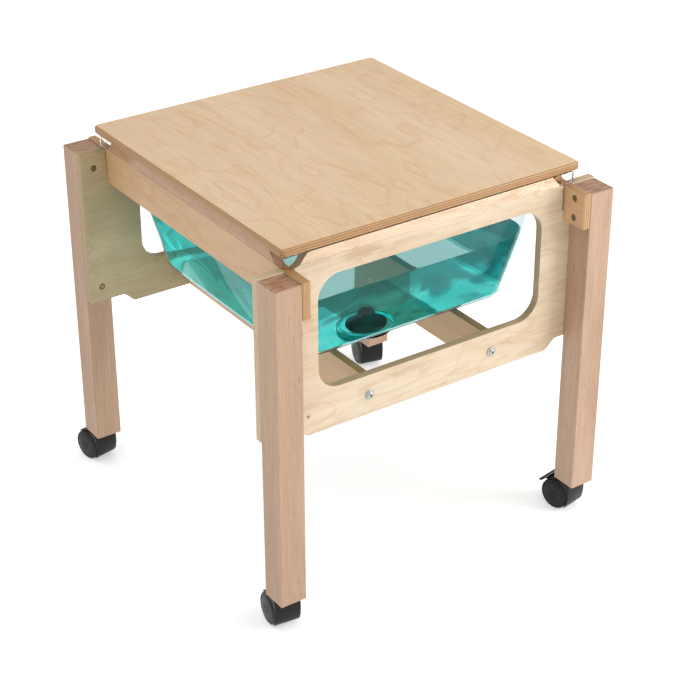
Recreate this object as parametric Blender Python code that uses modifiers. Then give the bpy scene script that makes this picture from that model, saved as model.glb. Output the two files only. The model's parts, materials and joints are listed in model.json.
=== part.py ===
"""Square sand and water table: wooden frame on casters, clear tub, plywood lid.

Units are metres, +Z is up and the floor is Z = 0. The wooden table is laid out centred on
X = Y = 0, and everything hangs on one empty, placed so that the world origin is the bottom
centre of the whole object, trailing casters included.
-Y is the side of panel_front, -X is the side of rail_left.
"""
import math

import bmesh
import bpy
from mathutils import Euler, Matrix, Vector

# ---------------------------------------------------------------- dimensions
TABLE_X = 0.565
TABLE_Y = 0.577
GAP = 0.0003
WELD = 0.00001
PAST_MIDDLE = 0.01
SMOOTH_ANGLE = math.radians(38)

LEG = 0.0413
LEG_BOTTOM = 0.0522
LEG_TOP = 0.5423
LEG_EASE = 0.0009
PILOT_R = 0.0024
PILOT_DEPTH = 0.0215
SOCKET_R = 0.0062
SOCKET_DEPTH = 0.0350

PLY = 0.0127
PLY_EASE = 0.0009
LOW_TOP = 0.5442
HIGH_TOP = 0.5618
TOP_STEP_IN = 0.0595
TOP_STEP_OUT = 0.0800
STEP_POINTS = 5

PANEL_END_BOTTOM = 0.3003
PANEL_BOTTOM = 0.2849
BOTTOM_STEP_IN = 0.0548
BOTTOM_STEP_OUT = 0.0771
WINDOW_HALF = 0.1895
WINDOW_BOTTOM = 0.3472
WINDOW_TOP = 0.5186
WINDOW_R = 0.0350

RAIL_BOTTOM = 0.4903
LAP_Z = 0.5065
LAP_SLACK = 0.0024

SLAT_X = 0.1061
SLAT_BOTTOM = 0.2859
SLAT_TOP = 0.3449
BOLT_Z = 0.3159
BOLT_R = 0.0030
BOLT_HOLE_R = 0.0034
BOLT_LEN = 0.056
BOLT_FLANGE_R = 0.0070
BOLT_SOCKET_R = 0.0022
BOLT_SOCKET_IN = 0.0016
BOLT_SOCKET_OUT = 0.0060
NUT_HOLE_R = 0.0052
NUT_IN = 0.036

SCREW_R = 0.0020
SCREW_HEAD_R = 0.0040
SCREW_TIP_R = 0.0007
SCREW_LEN = 0.032
SCREW_TIP = 0.006
SCREW_HOLE_DEPTH = 0.016
PANEL_SCREW_Z = (0.5182, 0.3240)
RAIL_SCREW_Z = (0.5321, 0.5026)

TUB_TOP_X = 0.2275
TUB_TOP_Y = 0.2335
TUB_BOTTOM_X = 0.1870
TUB_BOTTOM_Y = 0.1947
TUB_BOTTOM_Z = 0.3655
TUB_WALL = 0.0030
RIM_UNDER_Z = 0.5622
RIM_TOP_Z = 0.5650
LIP_X = 0.2437
LIP_Y = 0.2497
LIP_THICK = 0.0024
LIP_BOTTOM_Z = 0.5475
LIP_R = 0.0065
TUB_R_TOP = 0.0420
TUB_R_BOTTOM = 0.0480
TUB_FILLET = 0.0120

DRAIN_X = -0.0437
DRAIN_Y = -0.1412
RECESS_R = 0.0410
RECESS_DEPTH = 0.0070
DRAIN_R = 0.0170
FITTING_R = 0.0165
FITTING_BORE_R = 0.0125
FITTING_TAIL = 0.0150
NUT_R = 0.0220
NUT_HEIGHT = 0.0065
PLUG_SEAT = 0.0031

LID_X = 0.498
LID_Y = 0.506
LID_BOTTOM = 0.5653
LID_TOP = 0.5780
LID_R = 0.0065
LID_ROUND = 0.0040
BATTEN_L = 0.370
BATTEN_W = 0.022
BATTEN_H = 0.0160
BATTEN_Y = 0.2120
BATTEN_EASE = 0.0015

WHEEL_R = 0.0245
WHEEL_IN = 0.0068
WHEEL_OUT = 0.0214
WHEEL_BORE_R = 0.0031
TRAIL = 0.0200
HOOD_R_OUT = 0.0267
HOOD_R_IN = 0.0251
HOOD_HALF = 0.0197
HOOD_TOP = 0.0512
HOOD_FRONT = -39
HOOD_REAR = 126
WEB_HALF = 0.0060
WEB_R = 0.0258
AXLE_R = 0.0030
AXLE_HALF = 0.0180
AXLE_HOLE_R = 0.0032
STEM_R = 0.0056
STEM_PIN_R = 0.0040
STEM_BORE_R = 0.0041
STEM_BOTTOM = 0.0290
STEM_TOP = 0.0850
PEDAL_HALF = 0.0232
PEDAL_R_UNDER = 0.0273
PEDAL_R_PIVOT = 0.0287
PEDAL_R_OVER = 0.0299
PEDAL_PIVOT = 119
CASTER_TURN = {"front_left": -7.0, "front_right": 11.0, "back_left": 12.0, "back_right": -13.0}
BRAKED = ("front_right", "back_right")

CENTRE_X = 0.0022
CENTRE_Y = 0.0154

HX = TABLE_X / 2
HY = TABLE_Y / 2
RAIL_OUT = HX - LEG - GAP
RAIL_IN = RAIL_OUT - PLY
PANEL_OUT = HY - LEG - GAP
PANEL_IN = PANEL_OUT - PLY
SIDES_X = (("left", -1), ("right", 1))
SIDES_Y = (("front", -1), ("back", 1))

# ---------------------------------------------------------------- clean scene
for old in list(bpy.data.objects):
    bpy.data.objects.remove(old, do_unlink=True)
for old in list(bpy.data.meshes):
    bpy.data.meshes.remove(old)
for old in list(bpy.data.materials):
    bpy.data.materials.remove(old)
for old in list(bpy.data.collections):
    bpy.data.collections.remove(old)

PARTS = bpy.data.collections.new("sand_water_table")
CUTTERS = bpy.data.collections.new("cutters")
bpy.context.scene.collection.children.link(PARTS)
bpy.context.scene.collection.children.link(CUTTERS)


# ---------------------------------------------------------------- materials
def material(name, color, roughness, metallic=0.0, alpha=1.0):
    mat = bpy.data.materials.new(name)
    mat.use_nodes = True
    shader = mat.node_tree.nodes["Principled BSDF"]
    shader.inputs["Base Color"].default_value = (color[0], color[1], color[2], 1.0)
    shader.inputs["Roughness"].default_value = roughness
    shader.inputs["Metallic"].default_value = metallic
    shader.inputs["Alpha"].default_value = alpha
    return mat


MATS = {
    "leg_hardwood": material("leg_hardwood", (0.62, 0.42, 0.28), 0.45),
    "panel_ply": material("panel_ply", (0.86, 0.74, 0.56), 0.45),
    "rail_ply": material("rail_ply", (0.66, 0.46, 0.27), 0.45),
    "slat_ply": material("slat_ply", (0.72, 0.54, 0.34), 0.50),
    "lid_ply": material("lid_ply", (0.70, 0.50, 0.29), 0.40),
    "batten_wood": material("batten_wood", (0.66, 0.47, 0.30), 0.50),
    "clear_tub": material("clear_tub", (0.80, 0.90, 0.90), 0.08, 0.0, 0.35),
    "zinc_steel": material("zinc_steel", (0.62, 0.62, 0.60), 0.30, 1.0),
    "black_nylon": material("black_nylon", (0.020, 0.021, 0.023), 0.42),
    "wheel_nylon": material("wheel_nylon", (0.026, 0.027, 0.030), 0.38),
    "plug_rubber": material("plug_rubber", (0.012, 0.012, 0.013), 0.60),
    "drain_plastic": material("drain_plastic", (0.018, 0.018, 0.020), 0.35),
}


# ---------------------------------------------------------------- empties
def add_empty(name, at, degrees=0.0, parent=None):
    """Empty that other pieces hang on, turned about Z."""
    empty = bpy.data.objects.new(name, None)
    empty.location = at
    empty.rotation_euler = (0.0, 0.0, math.radians(degrees))
    empty.parent = parent
    PARTS.objects.link(empty)
    return empty


ORIGIN = add_empty("table_centre", (-CENTRE_X, -CENTRE_Y, 0.0))


# ---------------------------------------------------------------- meshes from tools
def finished_mesh(name, data, prepare=None):
    """Mesh that a curve's settings or a mesh's modifiers make, with its caps welded."""
    tool = bpy.data.objects.new(name, data)
    bpy.context.scene.collection.objects.link(tool)
    if prepare:
        prepare(tool)
    graph = bpy.context.evaluated_depsgraph_get()
    mesh = bpy.data.meshes.new_from_object(tool.evaluated_get(graph))
    bpy.data.objects.remove(tool, do_unlink=True)
    bm = bmesh.new()
    bm.from_mesh(mesh)
    bmesh.ops.remove_doubles(bm, verts=bm.verts, dist=WELD)
    bmesh.ops.recalc_face_normals(bm, faces=bm.faces)
    bm.to_mesh(mesh)
    bm.free()
    mesh.name = name
    return mesh


def box_mesh(name, size):
    """Box of a size, centred on its own origin."""
    bm = bmesh.new()
    bmesh.ops.create_cube(bm, size=1.0, matrix=Matrix.Diagonal((size[0], size[1], size[2], 1.0)))
    mesh = bpy.data.meshes.new(name)
    bm.to_mesh(mesh)
    bm.free()
    return mesh


def mirror_halves(tool):
    """Keep the +X half and add its mirror image."""
    mirror = tool.modifiers.new("halves", "MIRROR")
    mirror.use_axis[0] = True
    mirror.use_bisect_axis[0] = True
    mirror.merge_threshold = WELD


def plate_mesh(name, outline, thickness, rounding=0.0, rounding_steps=0, prepare=None):
    """Flat outline made solid, centred on its plane; rounding takes that much off its edges."""
    curve = bpy.data.curves.new(name, "CURVE")
    curve.dimensions = "2D"
    curve.fill_mode = "BOTH"
    curve.extrude = thickness / 2 - rounding
    curve.bevel_depth = rounding
    curve.bevel_resolution = rounding_steps
    curve.offset = -rounding
    spline = curve.splines.new("POLY")
    spline.points.add(len(outline) - 1)
    for point, (u, v) in zip(spline.points, outline):
        point.co = (u, v, 0.0, 1.0)
    spline.use_cyclic_u = True
    return finished_mesh(name, curve, prepare)


def turned_mesh(name, profile, segments, ring=False):
    """(radius, height) points turned about Z; a ring's points close on themselves."""
    if not ring:
        profile = [(0.0, profile[0][1])] + profile + [(0.0, profile[-1][1])]
    bm = bmesh.new()
    verts = [bm.verts.new((radius, 0.0, height)) for radius, height in profile]
    for first, second in zip(verts, verts[1:]):
        bm.edges.new((first, second))
    if ring:
        bm.edges.new((verts[-1], verts[0]))
    mesh = bpy.data.meshes.new(name)
    bm.to_mesh(mesh)
    bm.free()

    def add_screw_modifier(tool):
        screw = tool.modifiers.new("turn", "SCREW")
        screw.steps = segments
        screw.render_steps = segments
        screw.use_merge_vertices = True
        screw.merge_threshold = WELD

    return finished_mesh(name, mesh, add_screw_modifier)


def loft_mesh(name, rings):
    """Skin through closed rings of equal length, capped at both ends."""
    bm = bmesh.new()
    loops = [[bm.verts.new(point) for point in ring] for ring in rings]
    count = len(loops[0])
    for lower, upper in zip(loops, loops[1:]):
        for i in range(count):
            j = (i + 1) % count
            bm.faces.new((lower[i], lower[j], upper[j], upper[i]))
    bm.faces.new(list(reversed(loops[0])))
    bm.faces.new(loops[-1])
    bmesh.ops.recalc_face_normals(bm, faces=bm.faces)
    mesh = bpy.data.meshes.new(name)
    bm.to_mesh(mesh)
    bm.free()
    return mesh


# ---------------------------------------------------------------- placing and cutting
UPRIGHT = (0.0, 0.0, 0.0)
ACROSS_X = (math.pi / 2, 0.0, math.pi / 2)
ACROSS_Y = (math.pi / 2, 0.0, 0.0)


def towards(direction):
    """Turn that points a turned piece's height along a direction."""
    return tuple(Vector((0, 0, 1)).rotation_difference(Vector(direction)).to_euler())


def add_part(name, mesh, slot, at, turn=UPRIGHT, parent=ORIGIN):
    mesh.shade_smooth()
    mesh.set_sharp_from_angle(angle=SMOOTH_ANGLE)
    mesh.materials.append(MATS[slot])
    obj = bpy.data.objects.new(name, mesh)
    obj.location = at
    obj.rotation_euler = turn
    obj.parent = parent
    PARTS.objects.link(obj)
    return obj


def add_cutter(name, pieces, parent=ORIGIN):
    """One cutting object out of (mesh, place, turn) pieces that don't touch."""
    bm = bmesh.new()
    for mesh, at, turn in pieces:
        mesh.transform(Matrix.Translation(at) @ Euler(turn).to_matrix().to_4x4())
        bm.from_mesh(mesh)
        bpy.data.meshes.remove(mesh)
    joined = bpy.data.meshes.new(name)
    bm.to_mesh(joined)
    bm.free()
    obj = bpy.data.objects.new(name, joined)
    obj.parent = parent
    obj.hide_render = True
    obj.display_type = "WIRE"
    CUTTERS.objects.link(obj)
    return obj


def boolean(obj, other, operation="DIFFERENCE"):
    mod = obj.modifiers.new(other.name, "BOOLEAN")
    mod.operation = operation
    mod.solver = "EXACT"
    mod.object = other


def ease_edges(obj, width):
    """Small chamfer on every sharp edge made so far."""
    mod = obj.modifiers.new("ease", "BEVEL")
    mod.width = width
    mod.segments = 1
    mod.limit_method = "ANGLE"
    mod.angle_limit = math.radians(40)


# ---------------------------------------------------------------- outlines
def arc(cx, cy, radius, start, end, steps):
    out = []
    for i in range(steps + 1):
        angle = math.radians(start + (end - start) * i / steps)
        out.append((cx + radius * math.cos(angle), cy + radius * math.sin(angle)))
    return out


def rounded_rect(half_x, half_y, radius, steps):
    out = []
    for sx, sy, start in ((1, 1, 0), (-1, 1, 90), (-1, -1, 180), (1, -1, 270)):
        out += arc(sx * (half_x - radius), sy * (half_y - radius), radius, start, start + 90, steps)
    return out


def s_curve(x0, z0, x1, z1):
    out = []
    for i in range(STEP_POINTS + 1):
        t = i / STEP_POINTS
        blend = t * t * (3 - 2 * t)
        out.append((x0 + (x1 - x0) * t, z0 + (z1 - z0) * blend))
    return out


def bore(radius, start, end, segments=12):
    """Plain round cutter between two heights."""
    return turned_mesh("bore", [(radius, start), (radius, end)], segments)


def countersink():
    """Screw hole: its mouth is at height 0, and it goes down the +height axis."""
    return turned_mesh("countersink", [(0.0066, -0.0020), (0.0050, 0.0), (0.0048, 0.0007),
                                       (0.0025, 0.0034), (0.0025, SCREW_HOLE_DEPTH)], 12)


# ---------------------------------------------------------------- legs
def leg_centres():
    x = HX - LEG / 2
    y = HY - LEG / 2
    return {"front_left": (-x, -y), "front_right": (x, -y),
            "back_left": (-x, y), "back_right": (x, y)}


def side_of(value):
    return 1 if value > 0 else -1


def build_leg(tag, lx, ly):
    sx = side_of(lx)
    sy = side_of(ly)
    mesh = box_mesh("leg", (LEG, LEG, LEG_TOP - LEG_BOTTOM))
    leg = add_part("leg_" + tag, mesh, "leg_hardwood", (lx, ly, (LEG_TOP + LEG_BOTTOM) / 2))
    ease_edges(leg, LEG_EASE)
    holes = [(bore(SOCKET_R, -0.002, SOCKET_DEPTH, 16), (lx, ly, LEG_BOTTOM), UPRIGHT)]
    for z in PANEL_SCREW_Z:
        holes.append((bore(PILOT_R, -0.002, PILOT_DEPTH, 8), (lx, ly - sy * LEG / 2, z),
                      towards((0, sy, 0))))
    for z in RAIL_SCREW_Z:
        holes.append((bore(PILOT_R, -0.002, PILOT_DEPTH, 8), (lx - sx * LEG / 2, ly, z),
                      towards((sx, 0, 0))))
    boolean(leg, add_cutter("cut_leg_" + tag, holes))


for tag, (lx, ly) in leg_centres().items():
    build_leg(tag, lx, ly)


# ---------------------------------------------------------------- window panels
def panel_half_outline():
    """Right half with its half window, run a little past the middle."""
    corner = WINDOW_HALF - WINDOW_R
    out = [(-PAST_MIDDLE, PANEL_BOTTOM)]
    out += s_curve(HX - BOTTOM_STEP_OUT, PANEL_BOTTOM, HX - BOTTOM_STEP_IN, PANEL_END_BOTTOM)
    out += [(HX, PANEL_END_BOTTOM), (HX, LOW_TOP)]
    out += s_curve(HX - TOP_STEP_IN, LOW_TOP, HX - TOP_STEP_OUT, HIGH_TOP)
    out += [(-PAST_MIDDLE, HIGH_TOP), (-PAST_MIDDLE, WINDOW_TOP)]
    out += arc(corner, WINDOW_TOP - WINDOW_R, WINDOW_R, 90, 0, 6)
    out += arc(corner, WINDOW_BOTTOM + WINDOW_R, WINDOW_R, 0, -90, 6)
    return out + [(-PAST_MIDDLE, WINDOW_BOTTOM)]


def build_panel(tag, sy):
    middle = sy * (PANEL_OUT + PANEL_IN) / 2
    mesh = plate_mesh("panel", panel_half_outline(), PLY, PLY_EASE, 0, mirror_halves)
    panel = add_part("panel_" + tag, mesh, "panel_ply", (0, middle, 0), ACROSS_Y)
    cuts = []
    for _, sx in SIDES_X:
        edges = (sx * (RAIL_OUT + GAP), sx * (RAIL_IN - LAP_SLACK))
        size = (abs(edges[0] - edges[1]), PLY + 0.02, LOW_TOP + 0.01 - LAP_Z)
        cuts.append((box_mesh("slot", size), (sum(edges) / 2, middle, LAP_Z + size[2] / 2), UPRIGHT))
        for z in PANEL_SCREW_Z:
            cuts.append((countersink(), (sx * (HX - LEG / 2), sy * PANEL_IN, z),
                         towards((0, sy, 0))))
        cuts.append((bore(BOLT_HOLE_R, -0.002, PLY + 0.002), (sx * SLAT_X, sy * PANEL_IN, BOLT_Z),
                     towards((0, sy, 0))))
    boolean(panel, add_cutter("cut_panel_" + tag, cuts))


for tag, sy in SIDES_Y:
    build_panel(tag, sy)


# ---------------------------------------------------------------- rails
def rail_half_outline():
    out = [(-PAST_MIDDLE, RAIL_BOTTOM), (HY, RAIL_BOTTOM), (HY, LOW_TOP)]
    out += s_curve(HY - TOP_STEP_IN, LOW_TOP, HY - TOP_STEP_OUT, HIGH_TOP)
    return out + [(-PAST_MIDDLE, HIGH_TOP)]


def build_rail(tag, sx):
    middle = sx * (RAIL_OUT + RAIL_IN) / 2
    mesh = plate_mesh("rail", rail_half_outline(), PLY, PLY_EASE, 0, mirror_halves)
    rail = add_part("rail_" + tag, mesh, "rail_ply", (middle, 0, 0), ACROSS_X)
    cuts = []
    for _, sy in SIDES_Y:
        edges = (sy * (PANEL_OUT + GAP), sy * (PANEL_IN - GAP))
        size = (PLY + 0.02, abs(edges[0] - edges[1]), LAP_Z + GAP - RAIL_BOTTOM + 0.01)
        cuts.append((box_mesh("notch", size),
                     (middle, sum(edges) / 2, LAP_Z + GAP - size[2] / 2), UPRIGHT))
        for z in RAIL_SCREW_Z:
            cuts.append((countersink(), (sx * RAIL_IN, sy * (HY - LEG / 2), z),
                         towards((sx, 0, 0))))
    boolean(rail, add_cutter("cut_rail_" + tag, cuts))


for tag, sx in SIDES_X:
    build_rail(tag, sx)


# ---------------------------------------------------------------- wood screws
def add_screw(name, head, direction):
    """Countersunk screw: its head starts just under the surface at head."""
    top = GAP
    profile = [(SCREW_HEAD_R, top), (SCREW_HEAD_R, top + 0.0003), (SCREW_R, top + 0.0026),
               (SCREW_R, SCREW_LEN - SCREW_TIP), (SCREW_TIP_R, SCREW_LEN)]
    add_part(name, turned_mesh(name, profile, 10), "zinc_steel", head, towards(direction))


for tag, (lx, ly) in leg_centres().items():
    sx = side_of(lx)
    sy = side_of(ly)
    for level, z in zip(("upper", "lower"), PANEL_SCREW_Z):
        add_screw("screw_panel_" + tag + "_" + level, (lx, sy * PANEL_IN, z), (0, sy, 0))
    for level, z in zip(("upper", "lower"), RAIL_SCREW_Z):
        add_screw("screw_rail_" + tag + "_" + level, (sx * RAIL_IN, ly, z), (sx, 0, 0))


# ---------------------------------------------------------------- slats and bolts
SLAT_HALF = PANEL_IN - GAP


def build_slat(tag, sx):
    size = (PLY, 2 * SLAT_HALF, SLAT_TOP - SLAT_BOTTOM)
    slat = add_part("slat_" + tag, box_mesh("slat", size), "slat_ply",
                    (sx * SLAT_X, 0, (SLAT_TOP + SLAT_BOTTOM) / 2))
    ease_edges(slat, PLY_EASE)
    bolt_holes = []
    nut_holes = []
    for _, sy in SIDES_Y:
        bolt_holes.append((bore(BOLT_HOLE_R, -0.002, BOLT_LEN - PLY),
                           (sx * SLAT_X, sy * SLAT_HALF, BOLT_Z), towards((0, -sy, 0))))
        nut_holes.append((bore(NUT_HOLE_R, -PLY, PLY, 16),
                          (sx * SLAT_X, sy * (SLAT_HALF - NUT_IN), BOLT_Z), towards((1, 0, 0))))
    boolean(slat, add_cutter("cut_slat_bolts_" + tag, bolt_holes))
    boolean(slat, add_cutter("cut_slat_nuts_" + tag, nut_holes))


def build_bolt(name, head, direction):
    """Flanged button-head bolt with a hexagon socket; its flange sits at head."""
    profile = [(0.0028, -0.0038), (0.0043, -0.0032), (0.0052, -0.0021), (0.0054, -0.0011),
               (BOLT_FLANGE_R, -0.0011), (BOLT_FLANGE_R, 0.0), (BOLT_R, 0.0), (BOLT_R, BOLT_LEN)]
    bolt = add_part(name, turned_mesh(name, profile, 16), "zinc_steel", head, towards(direction))
    socket = bore(BOLT_SOCKET_R, -BOLT_SOCKET_OUT, -BOLT_SOCKET_IN, 6)
    boolean(bolt, add_cutter("cut_" + name, [(socket, head, towards(direction))]))


for tag, sx in SIDES_X:
    build_slat(tag, sx)
    for side, sy in SIDES_Y:
        build_bolt("bolt_" + tag + "_" + side, (sx * SLAT_X, sy * (PANEL_OUT + GAP), BOLT_Z),
                   (0, -sy, 0))


# ---------------------------------------------------------------- tub
DRAFT = math.atan((TUB_TOP_X - TUB_BOTTOM_X) / (RIM_UNDER_Z - TUB_BOTTOM_Z))
CORNER_STEPS = 6


def wall_half(z):
    """Half sizes and corner radius of the tub's outer wall at a height."""
    t = (z - TUB_BOTTOM_Z) / (RIM_UNDER_Z - TUB_BOTTOM_Z)
    return (TUB_BOTTOM_X + (TUB_TOP_X - TUB_BOTTOM_X) * t,
            TUB_BOTTOM_Y + (TUB_TOP_Y - TUB_BOTTOM_Y) * t,
            TUB_R_BOTTOM + (TUB_R_TOP - TUB_R_BOTTOM) * t)


def tub_ring(half_x, half_y, radius, z):
    return [Vector((x, y, z - TUB_BOTTOM_Z))
            for x, y in rounded_rect(half_x, half_y, radius, CORNER_STEPS)]


def skin_rings(thickness, fillet, top_z):
    """Rings of one skin from the floor to top_z, thickness inside the outer skin."""
    side = thickness / math.cos(DRAFT)
    floor = TUB_BOTTOM_Z + thickness
    turn = math.pi / 2 - DRAFT
    run = fillet * math.tan(turn / 2)
    rings = []
    for i in range(5):
        angle = turn * i / 4
        inward = run - fillet * math.sin(angle)
        half_x, half_y, radius = wall_half(floor)
        rings.append(tub_ring(half_x - side - inward, half_y - side - inward,
                              radius - side - max(0.0, inward),
                              floor + fillet * (1 - math.cos(angle))))
    for k in (1, 2):
        z = floor + fillet + (top_z - floor - fillet) * k / 2
        half_x, half_y, radius = wall_half(z)
        rings.append(tub_ring(half_x - side, half_y - side, radius - side, z))
    return rings


def lip_ring(inset, z):
    return tub_ring(LIP_X - inset, LIP_Y - inset, LIP_R - inset, z)


def tub_rings():
    """Outer skin up to the rim, round the turned-down lip, and the inner skin back down."""
    rings = skin_rings(0.0, TUB_FILLET, RIM_UNDER_Z - 0.003)
    rings.append(tub_ring(TUB_TOP_X + 0.0006, TUB_TOP_Y + 0.0006, TUB_R_TOP, RIM_UNDER_Z))
    rings.append(lip_ring(LIP_THICK, RIM_UNDER_Z))
    rings.append(lip_ring(LIP_THICK, LIP_BOTTOM_Z))
    rings.append(lip_ring(0.0, LIP_BOTTOM_Z))
    rings.append(lip_ring(0.0, RIM_TOP_Z - 0.0030))
    rings.append(lip_ring(0.0009, RIM_TOP_Z - 0.0009))
    rings.append(lip_ring(0.0030, RIM_TOP_Z))
    rings.append(tub_ring(TUB_TOP_X + 0.0010, TUB_TOP_Y + 0.0010, TUB_R_TOP, RIM_TOP_Z))
    rings.append(tub_ring(TUB_TOP_X - 0.0016, TUB_TOP_Y - 0.0016, TUB_R_TOP - 0.0018,
                          RIM_TOP_Z - 0.0010))
    inner = skin_rings(TUB_WALL, TUB_FILLET - TUB_WALL, RIM_TOP_Z - 0.0040)
    return rings + list(reversed(inner))


RECESS_FLOOR = TUB_BOTTOM_Z + TUB_WALL - RECESS_DEPTH
CUP_BOTTOM = RECESS_FLOOR - TUB_WALL
CUP_R = RECESS_R + TUB_WALL
DRAIN_AT = (DRAIN_X, DRAIN_Y, RECESS_FLOOR)


def build_tub():
    tub = add_part("tub", loft_mesh("tub", tub_rings()), "clear_tub", (0, 0, TUB_BOTTOM_Z))
    cup = [(CUP_R - 0.003, CUP_BOTTOM), (CUP_R - 0.0009, CUP_BOTTOM + 0.0009),
           (CUP_R, CUP_BOTTOM + 0.003), (CUP_R, TUB_BOTTOM_Z + 0.0015)]
    over_drain = (DRAIN_X, DRAIN_Y, 0)
    boolean(tub, add_cutter("add_tub_cup", [(turned_mesh("cup", cup, 32), over_drain, UPRIGHT)]),
            "UNION")
    recess = [(DRAIN_R, CUP_BOTTOM - 0.004), (DRAIN_R, RECESS_FLOOR),
              (RECESS_R - 0.002, RECESS_FLOOR), (RECESS_R, RECESS_FLOOR + 0.002),
              (RECESS_R, TUB_BOTTOM_Z + TUB_WALL - 0.001),
              (RECESS_R + 0.002, TUB_BOTTOM_Z + TUB_WALL + 0.001)]
    boolean(tub, add_cutter("cut_tub_recess",
                            [(turned_mesh("recess", recess, 32), over_drain, UPRIGHT)]))


build_tub()

# ---------------------------------------------------------------- drain
fitting = [(0.0280, 0.0028), (0.0285, 0.0014), (0.0270, GAP), (FITTING_R, GAP),
           (FITTING_R, -FITTING_TAIL), (FITTING_BORE_R, -FITTING_TAIL),
           (FITTING_BORE_R, 0.0012), (0.0140, 0.0028)]
add_part("drain_fitting", turned_mesh("drain_fitting", fitting, 24, ring=True), "drain_plastic",
         DRAIN_AT)

NUT_TOP = -TUB_WALL - GAP
NUT_BORE_R = FITTING_R + 0.0004
nut = [(NUT_R, NUT_TOP), (NUT_R, NUT_TOP - NUT_HEIGHT + 0.001), (NUT_R - 0.001, NUT_TOP - NUT_HEIGHT),
       (NUT_BORE_R, NUT_TOP - NUT_HEIGHT), (NUT_BORE_R, NUT_TOP)]
add_part("drain_nut", turned_mesh("drain_nut", nut, 24, ring=True), "drain_plastic", DRAIN_AT)

plug = [(0.0095, -0.0100), (0.0118, -0.0080), (0.0118, 0.0), (0.0295, 0.0), (0.0308, 0.0015),
        (0.0308, 0.0045), (0.0290, 0.0062), (0.0190, 0.0085), (0.0165, 0.0120),
        (0.0130, 0.0190), (0.0095, 0.0245), (0.0050, 0.0268)]
add_part("drain_plug", turned_mesh("drain_plug", plug, 24), "plug_rubber",
         (DRAIN_X, DRAIN_Y, RECESS_FLOOR + PLUG_SEAT))

# ---------------------------------------------------------------- lid
lid_outline = rounded_rect(LID_X / 2, LID_Y / 2, LID_R, 4)
add_part("lid", plate_mesh("lid", lid_outline, LID_TOP - LID_BOTTOM, LID_ROUND, 2), "lid_ply",
         (0, 0, (LID_TOP + LID_BOTTOM) / 2))

for tag, sy in SIDES_Y:
    batten = add_part("lid_batten_" + tag, box_mesh("batten", (BATTEN_L, BATTEN_W, BATTEN_H)),
                      "batten_wood", (0, sy * BATTEN_Y, LID_BOTTOM - GAP - BATTEN_H / 2))
    ease_edges(batten, BATTEN_EASE)


# ---------------------------------------------------------------- casters
def hood_arc(radius, start, end, steps):
    """(y, z) points about the axle; 0 degrees is the front, 90 the top, 180 the rear."""
    out = []
    for i in range(steps + 1):
        angle = math.radians(start + (end - start) * i / steps)
        out.append((TRAIL - radius * math.cos(angle), WHEEL_R + radius * math.sin(angle)))
    return out


def hood_outline():
    """Side view of the hood: a full nose at the swivel and a thin fender over the wheels."""
    outer = hood_arc(HOOD_R_OUT, HOOD_FRONT, -27, 1)
    outer += [(-0.0054, 0.0175), (-0.0065, 0.0240), (-0.0069, 0.0310), (-0.0066, 0.0385),
              (-0.0058, 0.0445), (-0.0046, 0.0483), (-0.0026, 0.0504), (0.0008, HOOD_TOP)]
    outer += hood_arc(HOOD_R_OUT, 90, HOOD_REAR, 5)
    return outer + hood_arc(HOOD_R_IN, HOOD_REAR, HOOD_FRONT, 17)


def pedal_outline():
    """Side view of the brake pedal: it follows the tread and sticks out behind."""
    over = [(0.0462, 0.0395), (0.0475, 0.0408), (0.0470, 0.0424),
            (0.0430, 0.0446), (0.0390, 0.0468), (0.0350, 0.0487)]
    return hood_arc(PEDAL_R_UNDER, 115, 140, 5) + over + hood_arc(PEDAL_R_OVER, 115, 115, 1)[:1]


def build_stem(tag, centre):
    profile = [(0.0030, STEM_BOTTOM), (STEM_PIN_R, STEM_BOTTOM + 0.001), (STEM_PIN_R, 0.0527),
               (STEM_R, 0.0532), (STEM_R, 0.0815), (0.0042, STEM_TOP)]
    add_part("caster_stem_" + tag, turned_mesh("caster_stem", profile, 16), "zinc_steel",
             (centre[0], centre[1], 0))


def build_hood(tag, swivel):
    hood = add_part("caster_hood_" + tag, plate_mesh("hood", hood_outline(), 2 * HOOD_HALF),
                    "black_nylon", (0, 0, 0), ACROSS_X, swivel)
    web_outline = hood_arc(WEB_R, -37, 124, 12) + hood_arc(0.0082, 160, 300, 6)
    web = plate_mesh("web", web_outline, 2 * WEB_HALF)
    boolean(hood, add_cutter("add_hood_web_" + tag, [(web, (0, 0, 0), ACROSS_X)], swivel), "UNION")
    holes = [(bore(STEM_BORE_R, STEM_BOTTOM - 0.001, HOOD_TOP + 0.009, 16), (0, 0, 0), UPRIGHT),
             (bore(AXLE_HOLE_R, -0.012, 0.012), (0, TRAIL, WHEEL_R), towards((1, 0, 0)))]
    boolean(hood, add_cutter("cut_hood_" + tag, holes, swivel))


def build_wheel(name, sx, swivel):
    profile = [(0.0226, WHEEL_IN), (WHEEL_R, WHEEL_IN + 0.0018), (WHEEL_R, WHEEL_OUT - 0.0034),
               (0.0234, WHEEL_OUT - 0.0013), (0.0212, WHEEL_OUT - 0.0007), (0.0110, WHEEL_OUT)]
    axle_at = (0, TRAIL, WHEEL_R)
    out = towards((sx, 0, 0))
    wheel = add_part(name, turned_mesh("wheel", profile, 26), "wheel_nylon", axle_at, out, swivel)
    hole = bore(WHEEL_BORE_R, WHEEL_IN - 0.003, WHEEL_OUT - 0.0019, 16)
    boolean(wheel, add_cutter("cut_" + name, [(hole, axle_at, out)], swivel))


def build_pedal(tag, swivel):
    pivot = hood_arc(PEDAL_R_PIVOT, PEDAL_PIVOT, PEDAL_PIVOT, 1)[0]
    outline = [(y - pivot[0], z - pivot[1]) for y, z in pedal_outline()]
    add_part("brake_lever_" + tag, plate_mesh("brake_lever", outline, 2 * PEDAL_HALF),
             "black_nylon", (0, pivot[0], pivot[1]), ACROSS_X, swivel)


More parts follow.
